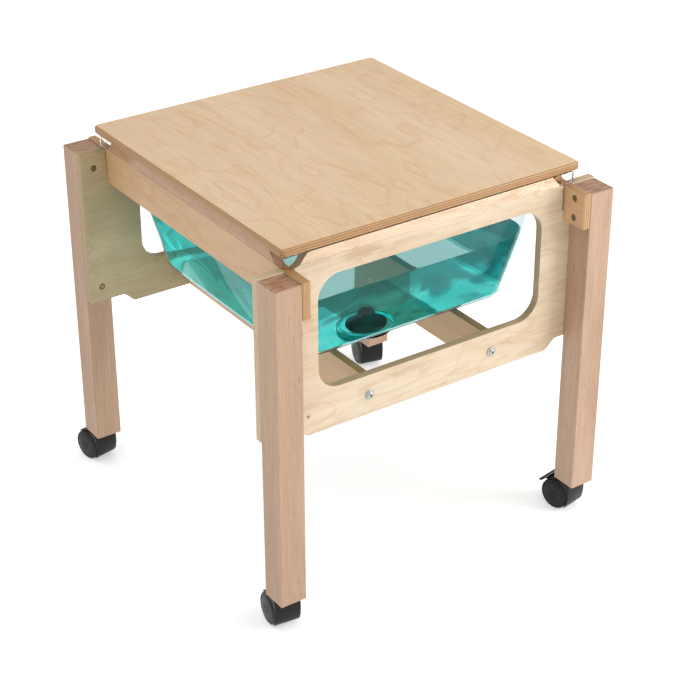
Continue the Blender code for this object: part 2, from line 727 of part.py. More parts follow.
def build_caster(tag, centre):
    swivel = add_empty("swivel_" + tag, (centre[0], centre[1], 0), CASTER_TURN[tag], ORIGIN)
    build_stem(tag, centre)
    build_hood(tag, swivel)
    axle = bore(AXLE_R, -AXLE_HALF, AXLE_HALF)
    add_part("caster_axle_" + tag, axle, "zinc_steel", (0, TRAIL, WHEEL_R), towards((1, 0, 0)),
             swivel)
    for side, sx in SIDES_X:
        build_wheel("caster_wheel_" + tag + "_" + side, sx, swivel)
    if tag in BRAKED:
        build_pedal(tag, swivel)


for tag, spot in leg_centres().items():
    build_caster(tag, spot)
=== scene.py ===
"""Looks of the sand and water table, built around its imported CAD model.

Everything is in metres in the CAD frame: +Z up, floor at Z = 0. -Y is the side of
panel_front and -X the side of rail_left.
"""
import json
import math

import bmesh
import bpy
from mathutils import Matrix, Vector


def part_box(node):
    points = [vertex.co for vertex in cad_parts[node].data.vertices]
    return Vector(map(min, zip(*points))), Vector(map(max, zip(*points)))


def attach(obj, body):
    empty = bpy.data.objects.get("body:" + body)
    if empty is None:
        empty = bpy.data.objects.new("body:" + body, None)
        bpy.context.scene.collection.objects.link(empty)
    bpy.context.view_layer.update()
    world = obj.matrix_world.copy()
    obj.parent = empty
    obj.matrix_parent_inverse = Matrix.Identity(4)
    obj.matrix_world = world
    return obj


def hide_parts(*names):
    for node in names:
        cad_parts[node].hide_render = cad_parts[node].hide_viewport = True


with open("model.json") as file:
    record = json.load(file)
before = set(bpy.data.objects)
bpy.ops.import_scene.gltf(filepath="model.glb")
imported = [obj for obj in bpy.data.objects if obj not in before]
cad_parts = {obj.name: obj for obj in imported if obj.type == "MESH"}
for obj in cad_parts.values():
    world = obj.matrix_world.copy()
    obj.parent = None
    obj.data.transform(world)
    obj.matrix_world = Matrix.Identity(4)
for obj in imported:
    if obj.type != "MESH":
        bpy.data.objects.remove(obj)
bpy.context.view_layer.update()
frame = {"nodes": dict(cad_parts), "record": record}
NODES = frame["nodes"]
JOINTS = {joint["name"]: joint for joint in frame["record"]["behaviour"]["joints"]}
LEGS = ("front_left", "front_right", "back_left", "back_right")
SIDES_X = (("left", -1), ("right", 1))
SIDES_Y = (("front", -1), ("back", 1))
GAP = 0.0003            # clearance between parts that would otherwise touch
PLY = 0.0127            # plywood thickness
PLY_EASE = 0.0009       # rounding of its edges
SHARP = math.radians(38)
BLACK = (0.0, 0.0, 0.0, 1.0)
WHITE = (1.0, 1.0, 1.0, 1.0)


def centre(node):
    low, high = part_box(node)
    return (low + high) / 2


def half_size(node):
    low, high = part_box(node)
    return (high - low) / 2


# ---------------------------------------------------------------- shader helpers
def srgb(red, green, blue):
    """Linear colour of a display colour given from 0 to 255."""
    def linear(value):
        value /= 255
        return value / 12.92 if value <= 0.04045 else ((value + 0.055) / 1.055) ** 2.4
    return (linear(red), linear(green), linear(blue), 1.0)


class Shader:
    """A node material with short calls for the nodes it is made of."""

    def __init__(self, name, **values):
        self.mat = bpy.data.materials.new(name)
        self.mat.use_nodes = True
        self.tree = self.mat.node_tree
        self.surface = self.tree.nodes["Principled BSDF"]
        for key, value in values.items():
            self.surface.inputs[key.replace("_", " ")].default_value = value
        self.place = self.node("ShaderNodeTexCoord")

    def node(self, kind, sockets=None, **settings):
        made = self.tree.nodes.new(kind)
        for key, value in settings.items():
            setattr(made, key, value)
        for key, value in (sockets or {}).items():
            if isinstance(value, bpy.types.NodeSocket):
                self.tree.links.new(value, made.inputs[key])
            else:
                made.inputs[key].default_value = value
        return made

    def link(self, source, key):
        self.tree.links.new(source, self.surface.inputs[key])

    def coords(self, scale, shift=(0, 0, 0), turn=(0, 0, 0)):
        made = self.node("ShaderNodeMapping", {"Vector": self.place.outputs["Object"],
                                               "Scale": scale, "Location": shift,
                                               "Rotation": turn})
        return made.outputs["Vector"]

    def noise(self, vector, detail=2.0, rough=0.5, distortion=0.0):
        made = self.node("ShaderNodeTexNoise", {"Vector": vector, "Scale": 1.0,
                                                "Detail": detail, "Roughness": rough,
                                                "Distortion": distortion})
        return made.outputs["Fac"]

    def math(self, operation, first, second=0.0):
        made = self.node("ShaderNodeMath", {0: first, 1: second}, operation=operation)
        return made.outputs[0]

    def span(self, value, low, high, out_low=0.0, out_high=1.0):
        """Map low..high smoothly onto out_low..out_high."""
        made = self.node("ShaderNodeMapRange", {"Value": value, "From Min": low,
                                                "From Max": high, "To Min": out_low,
                                                "To Max": out_high},
                         interpolation_type="SMOOTHSTEP")
        return made.outputs["Result"]

    def mix(self, factor, first, second, blend="MIX"):
        made = self.node("ShaderNodeMix", data_type="RGBA", blend_type=blend)
        for socket, value in ((made.inputs[0], factor), (made.inputs[6], first),
                              (made.inputs[7], second)):
            if isinstance(value, bpy.types.NodeSocket):
                self.tree.links.new(value, socket)
            else:
                socket.default_value = value
        return made.outputs[2]

    def shade(self, colour, grey):
        """Colour multiplied by a grey value."""
        made = self.node("ShaderNodeCombineColor", {0: grey, 1: grey, 2: grey})
        return self.mix(1.0, colour, made.outputs[0], "MULTIPLY")

    def part(self, vector, axis):
        made = self.node("ShaderNodeSeparateXYZ", {"Vector": vector})
        return made.outputs[axis]

    def along(self, axis):
        """Coordinate of the surface along an axis."""
        return self.part(self.place.outputs["Object"], axis)

    def facing(self, axis):
        """1 where the surface faces along an axis, either way, and 0 where it runs along it."""
        return self.math("ABSOLUTE", self.part(self.place.outputs["Normal"], axis))

    def bump(self, height, strength, distance):
        made = self.node("ShaderNodeBump", {"Height": height, "Strength": strength,
                                            "Distance": distance})
        self.link(made.outputs["Normal"], "Normal")


def dress(node, shader):
    """Give a CAD node its material."""
    slots = NODES[node].data.materials
    slots.clear()
    slots.append(shader.mat)


# ---------------------------------------------------------------- mesh helpers
def finish_mesh(bm, name):
    """Mesh made from a bmesh, which is used up."""
    bmesh.ops.recalc_face_normals(bm, faces=bm.faces)
    mesh = bpy.data.meshes.new(name)
    bm.to_mesh(mesh)
    bm.free()
    return smooth(mesh)


def smooth(mesh):
    """Shade a mesh smooth up to the sharp angle."""
    mesh.shade_smooth()
    mesh.set_sharp_from_angle(angle=SHARP)
    return mesh


def add_piece(name, mesh, shader, body, replaced=()):
    """Object that moves with a body and stands for the replaced CAD nodes."""
    piece = bpy.data.objects.new(name, mesh)
    bpy.context.scene.collection.objects.link(piece)
    mesh.materials.clear()
    mesh.materials.append(shader.mat)
    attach(piece, body)
    if replaced:
        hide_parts(*replaced)
    return piece


def soften(points, radius, steps):
    """Round every corner between the ends of a chain of (u, v) points."""
    out = []
    for i, point in enumerate(points):
        here = Vector(point)
        if i in (0, len(points) - 1):
            out.append(tuple(here))
            continue
        before = Vector(points[i - 1]) - here
        after = Vector(points[i + 1]) - here
        first = here + before.normalized() * min(radius, before.length * 0.45)
        last = here + after.normalized() * min(radius, after.length * 0.45)
        for k in range(steps + 1):
            t = k / steps
            out.append(tuple(first * (1 - t) ** 2 + here * 2 * t * (1 - t) + last * t ** 2))
    return out


def lathe(name, profile, steps, ring=False, lobes=0):
    """Turn (radius, height[, lobe depth]) points about Z; a ring's profile is closed."""
    bm = bmesh.new()
    loops = []
    for radius, height, *depth in profile:
        if radius < 1e-6:
            loops.append([bm.verts.new((0, 0, height))])
            continue
        loop = []
        for i in range(steps):
            angle = 2 * math.pi * i / steps
            pull = (depth[0] if depth else 0.0) * (0.5 - 0.5 * math.cos(lobes * angle))
            reach = radius * (1 - pull)
            loop.append(bm.verts.new((reach * math.cos(angle), reach * math.sin(angle), height)))
        loops.append(loop)
    pairs = list(zip(loops, loops[1:]))
    if ring:
        pairs.append((loops[-1], loops[0]))
    for lower, upper in pairs:
        for i in range(steps):
            j = (i + 1) % steps
            corners = [lower[i % len(lower)], lower[j % len(lower)],
                       upper[j % len(upper)], upper[i % len(upper)]]
            corners = list(dict.fromkeys(corners))
            if len(corners) > 2:
                bm.faces.new(corners)
    return finish_mesh(bm, name)


def loft(name, rings):
    """Skin through closed rings of equal length, capped at both ends."""
    bm = bmesh.new()
    loops = [[bm.verts.new(point) for point in ring] for ring in rings]
    count = len(loops[0])
    for lower, upper in zip(loops, loops[1:]):
        for i in range(count):
            j = (i + 1) % count
            bm.faces.new((lower[i], lower[j], upper[j], upper[i]))
    bm.faces.new(list(reversed(loops[0])))
    bm.faces.new(loops[-1])
    return finish_mesh(bm, name)


def evaluated(name, data, prepare):
    """Mesh of an object with its modifiers applied."""
    tool = bpy.data.objects.new(name, data)
    bpy.context.scene.collection.objects.link(tool)
    prepare(tool)
    graph = bpy.context.evaluated_depsgraph_get()
    mesh = bpy.data.meshes.new_from_object(tool.evaluated_get(graph))
    bpy.data.objects.remove(tool, do_unlink=True)
    mesh.name = name
    return mesh


def plate(name, outlines, thickness, rounding, steps=3, mirrored=False):
    """Flat outlines made solid with rounded edges; every outline after the first is a hole."""
    curve = bpy.data.curves.new(name, "CURVE")
    curve.dimensions = "2D"
    curve.fill_mode = "BOTH"
    curve.extrude = thickness / 2 - rounding
    curve.bevel_depth = rounding
    curve.bevel_resolution = steps
    curve.offset = -rounding
    for outline in outlines:
        spline = curve.splines.new("POLY")
        spline.points.add(len(outline) - 1)
        for point, (u, v) in zip(spline.points, outline):
            point.co = (u, v, 0.0, 1.0)
        spline.use_cyclic_u = True

    def prepare(tool):
        if mirrored:
            halves = tool.modifiers.new("halves", "MIRROR")
            halves.use_axis[0] = True
            halves.use_bisect_axis[0] = True
            halves.merge_threshold = 0.00001

    mesh = evaluated(name, curve, prepare)
    bm = bmesh.new()
    bm.from_mesh(mesh)
    bmesh.ops.remove_doubles(bm, verts=bm.verts, dist=0.00001)
    bpy.data.meshes.remove(mesh)
    return finish_mesh(bm, name)


def carve(name, mesh, steps):
    """Apply (cutter mesh, operation) Booleans to a mesh."""
    cutters = []
    for cutter_mesh, _ in steps:
        cutter = bpy.data.objects.new("cutter", cutter_mesh)
        bpy.context.scene.collection.objects.link(cutter)
        cutters.append(cutter)

    def prepare(tool):
        for cutter, (_, operation) in zip(cutters, steps):
            mod = tool.modifiers.new("cut", "BOOLEAN")
            mod.operation = operation
            mod.solver = "EXACT"
            mod.object = cutter

    result = evaluated(name, mesh, prepare)
    for cutter in cutters:
        bpy.data.objects.remove(cutter, do_unlink=True)
    return smooth(result)


def arc(cx, cy, radius, start, end, steps):
    """Points along an arc, its ends given in degrees."""
    out = []
    for i in range(steps + 1):
        angle = math.radians(start + (end - start) * i / steps)
        out.append((cx + radius * math.cos(angle), cy + radius * math.sin(angle)))
    return out


def circle(cx, cy, radius, steps=24):
    return arc(cx, cy, radius, 0, 360 - 360 / steps, steps - 1)


def pointing(at, direction):
    """Matrix that stands a turned piece at a place with its height along a direction."""
    turn = Vector((0, 0, 1)).rotation_difference(Vector(direction)).to_matrix().to_4x4()
    return Matrix.Translation(at) @ turn


# ---------------------------------------------------------------- wood
PLIES = 7


def stretched(grain, across, along):
    """Scale that draws noise out along the grain axis."""
    scale = [across, across, across]
    scale[grain] = along
    return scale


def grain_lines(shader, colour, grain, shift, line, strength, across, along, count):
    """Thin growth lines: contours of a slow field, each sharp on one side and fading."""
    field = shader.noise(shader.coords(stretched(grain, across, along), shift), 2.0, 0.42, 0.25)
    wave = shader.math("FRACT", shader.math("MULTIPLY", field, count))
    sharp = shader.span(wave, 0.0, 0.05)
    fade = shader.span(wave, 0.05, 0.40, 1.0, 0.0)
    ridge = shader.math("MULTIPLY", sharp, shader.math("POWER", fade, 2.6))
    patch = shader.noise(shader.coords(stretched(grain, 7, 4), shift), 2)
    ridge = shader.math("MULTIPLY", ridge, shader.span(patch, 0.36, 0.60, 0.2, strength))
    return shader.mix(ridge, colour, line)


def flames(shader, colour, grain, shift, light, dark, strength):
    """Short soft streaks of birch veneer, some lighter and some darker than the rest."""
    streak = shader.noise(shader.coords(stretched(grain, 95, 24), shift), 3, 0.5, 0.6)
    patch = shader.noise(shader.coords(stretched(grain, 16, 8), shift), 2)
    amount = shader.span(patch, 0.35, 0.65, 0.35 * strength, strength)
    darker = shader.math("MULTIPLY", shader.span(streak, 0.50, 0.72), amount)
    lighter = shader.math("MULTIPLY", shader.span(streak, 0.28, 0.50, 1.0, 0.0), amount)
    return shader.mix(lighter, shader.mix(darker, colour, dark), light)


def knot(shader, colour, place, radius, shift, line):
    """Small brown knot at a place, with a paler ring of disturbed grain."""
    offset = shader.node("ShaderNodeVectorMath", {0: shader.place.outputs["Object"], 1: place},
                         operation="DISTANCE").outputs["Value"]
    wobble = shader.noise(shader.coords((300, 300, 300), shift), 2)
    offset = shader.math("ADD", offset, shader.span(wobble, 0, 1, -radius / 3, radius / 3))
    ring = shader.span(offset, radius * 0.9, radius * 3.0, 0.45, 0.0)
    eye = shader.span(offset, radius * 0.5, radius, 0.95, 0.0)
    return shader.mix(eye, shader.mix(ring, colour, line), srgb(84, 50, 26))


def wood(name, grain, tones, seed, edge, figure=0.0, lines=(9, 4, 7), flame=0.0, fleck=0.0,
         fibre=0.10, thick=None, middle=0.0, knots=(), outer=None):
    """Lacquered wood with its fibres along the grain axis.

    tones are light, dark and line. figure is the strength of the growth lines, flame that
    of the veneer's streaks, fleck that of short dark rays. With thick set, faces across that
    axis are veneer and the others show the plies. outer multiplies each colour on the side
    that faces the positive way, lifting tones that carry painted shade for the other side.
    """
    light, dark, line = tones
    shader = Shader(name, IOR=1.46, Coat_Weight=0.10, Coat_Roughness=0.22)
    shift = (seed * 1.7, seed * 2.3, seed * 0.9)
    tone = shader.noise(shader.coords(stretched(grain, 11, 1.6), shift), 3, 0.55, 0.3)
    fine = shader.noise(shader.coords(stretched(grain, 560, 12), shift), 3, 0.6)
    broad = shader.noise(shader.coords(stretched(grain, 90, 3), shift), 2)
    colour = shader.mix(shader.span(tone, 0.33, 0.68), light, dark)
    colour = shader.shade(colour, shader.span(fine, 0.3, 0.7, 1.0 - fibre, 1.0 + fibre * 0.3))
    colour = shader.mix(shader.span(broad, 0.45, 0.75, 0.0, 0.18), colour, dark)
    if flame:
        colour = flames(shader, colour, grain, shift, light, line, flame)
    if figure:
        colour = grain_lines(shader, colour, grain, shift, line, figure, *lines)
    if fleck:
        ray = shader.noise(shader.coords(stretched(grain, 420, 55), shift), 1, 0.4)
        colour = shader.mix(shader.span(ray, 0.66, 0.76, 0.0, fleck), colour, line)
    for place, radius in knots:
        colour = knot(shader, colour, place, radius, shift, line)
    # painted shade: tones darkened for one side are lifted on the side facing the positive way
    if outer:
        positive = shader.span(shader.part(shader.place.outputs["Normal"], thick), 0.4, 0.9)
        colour = shader.mix(positive, colour, shader.mix(1.0, colour, outer, "MULTIPLY"))
    if thick is not None:
        depth = shader.math("SUBTRACT", shader.along(thick), middle)
        layer = shader.math("MULTIPLY", shader.math("ADD", depth, PLY / 2), PLIES / PLY / 2)
        pulse = shader.math("PINGPONG", layer, 0.5)
        core = shader.mix(shader.span(pulse, 0.20, 0.30), edge[0], edge[1])
        glue = shader.span(shader.math("ABSOLUTE", shader.math("SUBTRACT", pulse, 0.25)),
                           0.0, 0.04, 0.55, 0.0)
        core = shader.mix(glue, core, edge[2])
        core = shader.mix(shader.span(broad, 0.4, 0.7, 0.0, 0.35), core, edge[1])
        colour = shader.mix(shader.span(shader.facing(thick), 0.86, 0.96), core, colour)
    else:
        rings = shader.noise(shader.coords((70, 260, 1), shift, (0, 0, 0.4)), 2, 0.6, 0.5)
        ends = shader.mix(shader.span(rings, 0.35, 0.65), edge[0], edge[1])
        colour = shader.mix(shader.span(shader.facing(grain), 0.6, 0.9), colour, ends)
    shader.link(colour, "Base Color")
    shader.link(shader.span(tone, 0.3, 0.7, 0.36, 0.48), "Roughness")
    shader.bump(fine, 0.12, 0.0002)
    return shader


# Light, dark and line of each wood; pale ply, dark ply and glue of each edge; the legs' ends
# have no glue.
LEG_TONES = (srgb(190, 158, 132), srgb(172, 137, 109), srgb(132, 95, 71))
LEG_ENDS = (srgb(176, 136, 106), srgb(140, 100, 74))
PANEL_TONES = (srgb(218, 200, 174), srgb(205, 181, 150), srgb(182, 146, 106))
# the back panel's tones are darkened with painted shade, as for a face that lies in shade
SHADED_INNER_TONES = (srgb(184, 168, 132), srgb(168, 149, 112), srgb(148, 124, 88))
RAIL_TONES = (srgb(210, 176, 136), srgb(200, 160, 118), srgb(176, 132, 92))
LID_TONES = (srgb(222, 193, 157), srgb(214, 182, 143), srgb(198, 142, 86))
EDGE_TONES = (srgb(190, 150, 104), srgb(166, 124, 80), srgb(126, 90, 56))
LID_EDGE = (srgb(182, 140, 92), srgb(154, 112, 68), srgb(122, 88, 54))
FRONT_EDGE = (srgb(206, 184, 152), srgb(178, 154, 118), srgb(140, 116, 82))
PALE_EDGE = (srgb(182, 152, 106), srgb(146, 120, 76), srgb(108, 90, 54))
OUTER_SHADE_LIFT = (1.46, 1.47, 1.80, 1.0)      # the back panel's tones carry painted shade; this lifts its far side out of it

for index, tag in enumerate(LEGS):
    dress("leg_" + tag, wood("leg_wood_" + tag, 2, LEG_TONES, 3.1 + index, LEG_ENDS, fleck=0.40,
                             fibre=0.12))
for index, (side, _) in enumerate(SIDES_X):
    dress("slat_" + side, wood("slat_wood_" + side, 1, RAIL_TONES, 31.2 + index, PALE_EDGE,
                               thick=0, middle=centre("slat_" + side).x))
for index, (side, _) in enumerate(SIDES_Y):
    dress("lid_batten_" + side, wood("batten_wood_" + side, 0, RAIL_TONES, 51 + index, LEG_ENDS,
                                     fleck=0.3))

# ---------------------------------------------------------------- panels and rails
STEP_POINTS = 14
PAST_MIDDLE = 0.01
LOW_TOP = 0.5442
LAP_Z = 0.5065
LAP_SLACK = 0.0024
TOP_STEP = (0.0595, 0.0800)
BOTTOM_STEP = (0.0548, 0.0771)
PANEL_END_BOTTOM = 0.3003
WINDOW_HALF = 0.1895
WINDOW_Z = (0.3472, 0.5186)
WINDOW_R = 0.0350
SCREW_HOLE_R = 0.0047
BOLT_HOLE_R = 0.0034
KNOT_IN = 0.034         # from the front left leg to the knot
KNOT_UP = 0.030         # from the panel's bottom edge
KNOT_R = 0.0022
PANEL_FIGURE = dict(lines=(14, 5, 6), figure=0.25)
RAIL_FIGURE = dict(lines=(14, 5, 6), figure=0.3)


def s_curve(x0, z0, x1, z1):
    """Points of a smooth step, level at both ends."""
    out = []
    for i in range(STEP_POINTS + 1):
        t = i / STEP_POINTS
        out.append((x0 + (x1 - x0) * t, z0 + (z1 - z0) * t * t * (3 - 2 * t)))
    return out


MIDDLE_X = centre("lid").x
MIDDLE_Y = centre("lid").y
HALF_X = half_size("panel_front").x
HALF_Y = half_size("rail_left").y
RAIL_AT = {side: centre("rail_" + side).x for side, _ in SIDES_X}
PANEL_AT = {side: centre("panel_" + side).y for side, _ in SIDES_Y}
SLOT_X = (RAIL_AT["right"] - MIDDLE_X - PLY / 2 - LAP_SLACK,
          RAIL_AT["right"] - MIDDLE_X + PLY / 2 + GAP)
NOTCH_Y = (PANEL_AT["back"] - MIDDLE_Y - PLY / 2 - GAP, PANEL_AT["back"] - MIDDLE_Y + PLY / 2 + GAP)
PANEL_SCREWS = [centre("screw_panel_front_right_" + level).z for level in ("upper", "lower")]
RAIL_SCREWS = [centre("screw_rail_front_right_" + level).z for level in ("upper", "lower")]
SCREW_X = centre("leg_front_right").x - MIDDLE_X
SCREW_Y = centre("leg_back_right").y - MIDDLE_Y
BOLT = centre("bolt_right_front")


def panel_outlines(bottom, top):
    """Right half of a panel, run a little past its middle, and its holes."""
    out = [(-PAST_MIDDLE, bottom)]
    out += s_curve(HALF_X - BOTTOM_STEP[1], bottom, HALF_X - BOTTOM_STEP[0], PANEL_END_BOTTOM)
    out += [(HALF_X, PANEL_END_BOTTOM), (HALF_X, LOW_TOP)]
    out += [(SLOT_X[1], LOW_TOP), (SLOT_X[1], LAP_Z), (SLOT_X[0], LAP_Z), (SLOT_X[0], LOW_TOP)]
    out += s_curve(HALF_X - TOP_STEP[0], LOW_TOP, HALF_X - TOP_STEP[1], top)
    out += [(-PAST_MIDDLE, top), (-PAST_MIDDLE, WINDOW_Z[1])]
    out += arc(WINDOW_HALF - WINDOW_R, WINDOW_Z[1] - WINDOW_R, WINDOW_R, 90, 0, 20)
    out += arc(WINDOW_HALF - WINDOW_R, WINDOW_Z[0] + WINDOW_R, WINDOW_R, 0, -90, 20)
    out.append((-PAST_MIDDLE, WINDOW_Z[0]))
    holes = [circle(SCREW_X, z, SCREW_HOLE_R) for z in PANEL_SCREWS]
    return [out] + holes + [circle(BOLT.x - MIDDLE_X, BOLT.z, BOLT_HOLE_R)]


def rail_outlines(bottom, top):
    """Rear half of a rail, run a little past its middle, and its holes."""
    out = [(-PAST_MIDDLE, bottom), (NOTCH_Y[0], bottom), (NOTCH_Y[0], LAP_Z + GAP),
           (NOTCH_Y[1], LAP_Z + GAP), (NOTCH_Y[1], bottom), (HALF_Y, bottom), (HALF_Y, LOW_TOP)]
    out += s_curve(HALF_Y - TOP_STEP[0], LOW_TOP, HALF_Y - TOP_STEP[1], top)
    out.append((-PAST_MIDDLE, top))
    return [out] + [circle(SCREW_Y, z, SCREW_HOLE_R) for z in RAIL_SCREWS]


ACROSS_Y = Matrix.Rotation(math.pi / 2, 4, "X")
ACROSS_X = Matrix.Rotation(math.pi / 2, 4, "Z") @ ACROSS_Y
panel_low, panel_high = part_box("panel_front")
rail_low, rail_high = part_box("rail_left")
KNOT = ((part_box("leg_front_left")[1].x + KNOT_IN, panel_low.y, panel_low.z + KNOT_UP), KNOT_R)
for index, (side, _) in enumerate(SIDES_Y):
    mesh = plate("panel_" + side, panel_outlines(panel_low.z, panel_high.z), PLY, PLY_EASE,
                 mirrored=True)
    mesh.transform(Matrix.Translation((MIDDLE_X, PANEL_AT[side], 0)) @ ACROSS_Y)
    # the back panel is painted in shade on its inner face and lifted out of it on its far side
    tones, edge, flame, outer = {"front": (PANEL_TONES, FRONT_EDGE, 0.55, None),
                                 "back": (SHADED_INNER_TONES, PALE_EDGE, 0.22, OUTER_SHADE_LIFT)}[side]
    add_piece("panel_ply_" + side, mesh,
              wood("panel_wood_" + side, 0, tones, 11.4 + index, edge, flame=flame, thick=1,
                   middle=PANEL_AT[side], knots=(KNOT,), outer=outer, **PANEL_FIGURE),
              "frame", ("panel_" + side,))
for index, (side, _) in enumerate(SIDES_X):
    mesh = plate("rail_" + side, rail_outlines(rail_low.z, rail_high.z), PLY, PLY_EASE,
                 mirrored=True)
    mesh.transform(Matrix.Translation((RAIL_AT[side], MIDDLE_Y, 0)) @ ACROSS_X)
    add_piece("rail_ply_" + side, mesh,
              wood("rail_wood_" + side, 1, RAIL_TONES, 21.7 + index, EDGE_TONES, flame=0.35,
                   thick=0, middle=RAIL_AT[side], **RAIL_FIGURE),
              "frame", ("rail_" + side,))


# ---------------------------------------------------------------- lid
CORNER_STEPS = 14


def rounded_ring(middle, half_x, half_y, radius, z):
    """Closed ring of points round a rectangle with round corners."""
    out = []
    for quarter, (sx, sy) in enumerate(((1, 1), (-1, 1), (-1, -1), (1, -1))):
        out += [Vector((x, y, z)) for x, y in
                arc(middle.x + sx * (half_x - radius), middle.y + sy * (half_y - radius),
                    radius, 90 * quarter, 90 * quarter + 90, CORNER_STEPS)]
    return out


LID_R = 0.0065          # its corners from above
LID_ROUND = 0.0040      # rounding of its edges
LID_ROUND_STEPS = 8


def build_lid():
    """Flat board with rounded edges and corners."""
    low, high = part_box("lid")
    middle = (low + high) / 2
    half = (high - low) / 2
    rings = []
    for base, start in ((low.z + LID_ROUND, -90), (high.z - LID_ROUND, 0)):
        for i in range(LID_ROUND_STEPS + 1):
            angle = math.radians(start + 90 * i / LID_ROUND_STEPS)
            inset = LID_ROUND * (1 - math.cos(angle))
            rings.append(rounded_ring(middle, half.x - inset, half.y - inset, LID_R - inset,
                                      base + LID_ROUND * math.sin(angle)))
    return loft("lid", rings)


add_piece("lid_board", build_lid(),
          wood("lid_wood", 1, LID_TONES, 41.9, LID_EDGE, figure=0.27, lines=(8.5, 3.6, 10.5),
               flame=0.24, thick=2, middle=centre("lid").z),
          "lid", ("lid",))


# ---------------------------------------------------------------- metal, nylon, rubber
def plated(name, light, dark):
    """Plated steel with a little grime."""
    shader = Shader(name, Metallic=1.0)
    grime = shader.noise(shader.coords((900, 900, 900)), 3)
    shader.link(shader.mix(grime, light, dark), "Base Color")
    shader.link(shader.span(grime, 0.3, 0.7, 0.18, 0.38), "Roughness")
    shader.bump(grime, 0.08, 0.0001)
    return shader


def moulded(name, light, dark, low_rough, high_rough):
    """Black moulding with a fine spark-eroded texture and faint scuffs."""
    shader = Shader(name, IOR=1.5, Specular_IOR_Level=0.28)
    grain = shader.noise(shader.coords((1800, 1800, 1800)), 2)
    scuff = shader.noise(shader.coords((90, 90, 160)), 4, 0.6)
    shader.link(shader.mix(shader.span(scuff, 0.45, 0.75), dark, light), "Base Color")
    shader.link(shader.span(scuff, 0.35, 0.7, low_rough, high_rough), "Roughness")
    shader.bump(grain, 0.10, 0.0001)
    return shader


ZINC = plated("zinc", srgb(205, 206, 204), srgb(150, 152, 152))
SCREW_STEEL = plated("screw_steel", srgb(150, 136, 112), srgb(96, 82, 62))
HOOD = moulded("caster_nylon", srgb(16, 17, 18), srgb(6, 7, 7), 0.30, 0.46)
WHEEL = moulded("wheel_nylon", srgb(18, 19, 20), srgb(8, 9, 9), 0.28, 0.42)
RUBBER = moulded("plug_rubber", srgb(34, 36, 38), srgb(18, 20, 22), 0.46, 0.62)
DRAIN = moulded("drain_plastic", srgb(42, 43, 46), srgb(24, 25, 27), 0.24, 0.40)
for name in NODES:
    if name.startswith(("caster_stem_", "caster_axle_")):
        dress(name, ZINC)

# ---------------------------------------------------------------- screws, bolts, nuts
SCREW_PROFILE = ((0.0, 0.0004), (0.0034, 0.00034), (0.0040, 0.0006), (0.0021, 0.0026),
                 (0.0019, 0.0260), (0.0007, 0.0320), (0.0, 0.0320))
BOLT_FLANGE_R = 0.0070
BOLT_HEAD = 0.0038
BOLT_LENGTH = 0.0560
NUT_IN = 0.036          # from the slat's end to the barrel nut


def cross_recess():
    """Cutter for a cross recess, made of two crossed bars."""
    bm = bmesh.new()
    for half_x, half_y in ((0.0021, 0.00042), (0.00042, 0.0021)):
        bmesh.ops.create_cube(bm, size=1.0, matrix=Matrix.Translation((0, 0, 0.0008)) @
                              Matrix.Diagonal((2 * half_x, 2 * half_y, 0.0024, 1.0)))
    return finish_mesh(bm, "cross")


def build_screw():
    """Wood screw, pointing up its height."""
    return carve("wood_screw", lathe("wood_screw", soften(SCREW_PROFILE, 0.0002, 2), 32),
                 [(cross_recess(), "DIFFERENCE")])


def build_bolt():
    """Flanged button-head bolt with a hexagon socket, pointing up its height."""
    head = [(0.0, -BOLT_HEAD), (0.0030, -0.0037), (0.0045, -0.0030), (0.0053, -0.0019),
            (0.0055, -0.0012), (BOLT_FLANGE_R - 0.0003, -0.0011), (BOLT_FLANGE_R, -0.0007),
            (BOLT_FLANGE_R, 0.0), (0.0030, 0.0), (0.0030, BOLT_LENGTH - 0.0005),
            (0.0025, BOLT_LENGTH), (0.0, BOLT_LENGTH)]
    socket = lathe("socket", [(0.0, -0.0060), (0.0023, -0.0060), (0.0023, -0.0014),
                              (0.0, -0.0008)], 6)
    return carve("bolt", lathe("bolt", soften(head, 0.0003, 3), 48),
                 [(socket, "DIFFERENCE")])


def build_barrel_nut():
    """Cross dowel that the bolt screws into, with a slot in its end."""
    profile = [(0.0, -0.0058), (0.0045, -0.0058), (0.0049, -0.0054), (0.0049, 0.0054),
               (0.0045, 0.0058), (0.0, 0.0058)]
    bm = bmesh.new()
    bmesh.ops.create_cube(bm, size=1.0, matrix=Matrix.Translation((0, 0, 0.0056)) @
                          Matrix.Diagonal((0.0080, 0.0014, 0.0024, 1.0)))
    return carve("barrel_nut", lathe("barrel_nut", profile, 40),
                 [(finish_mesh(bm, "slot"), "DIFFERENCE")])


def head_end(node, axis, sign):
    """Middle of a fastener's box, moved to the end its head is at."""
    low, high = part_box(node)
    at = (low + high) / 2
    at[axis] = low[axis] if sign > 0 else high[axis]
    return at


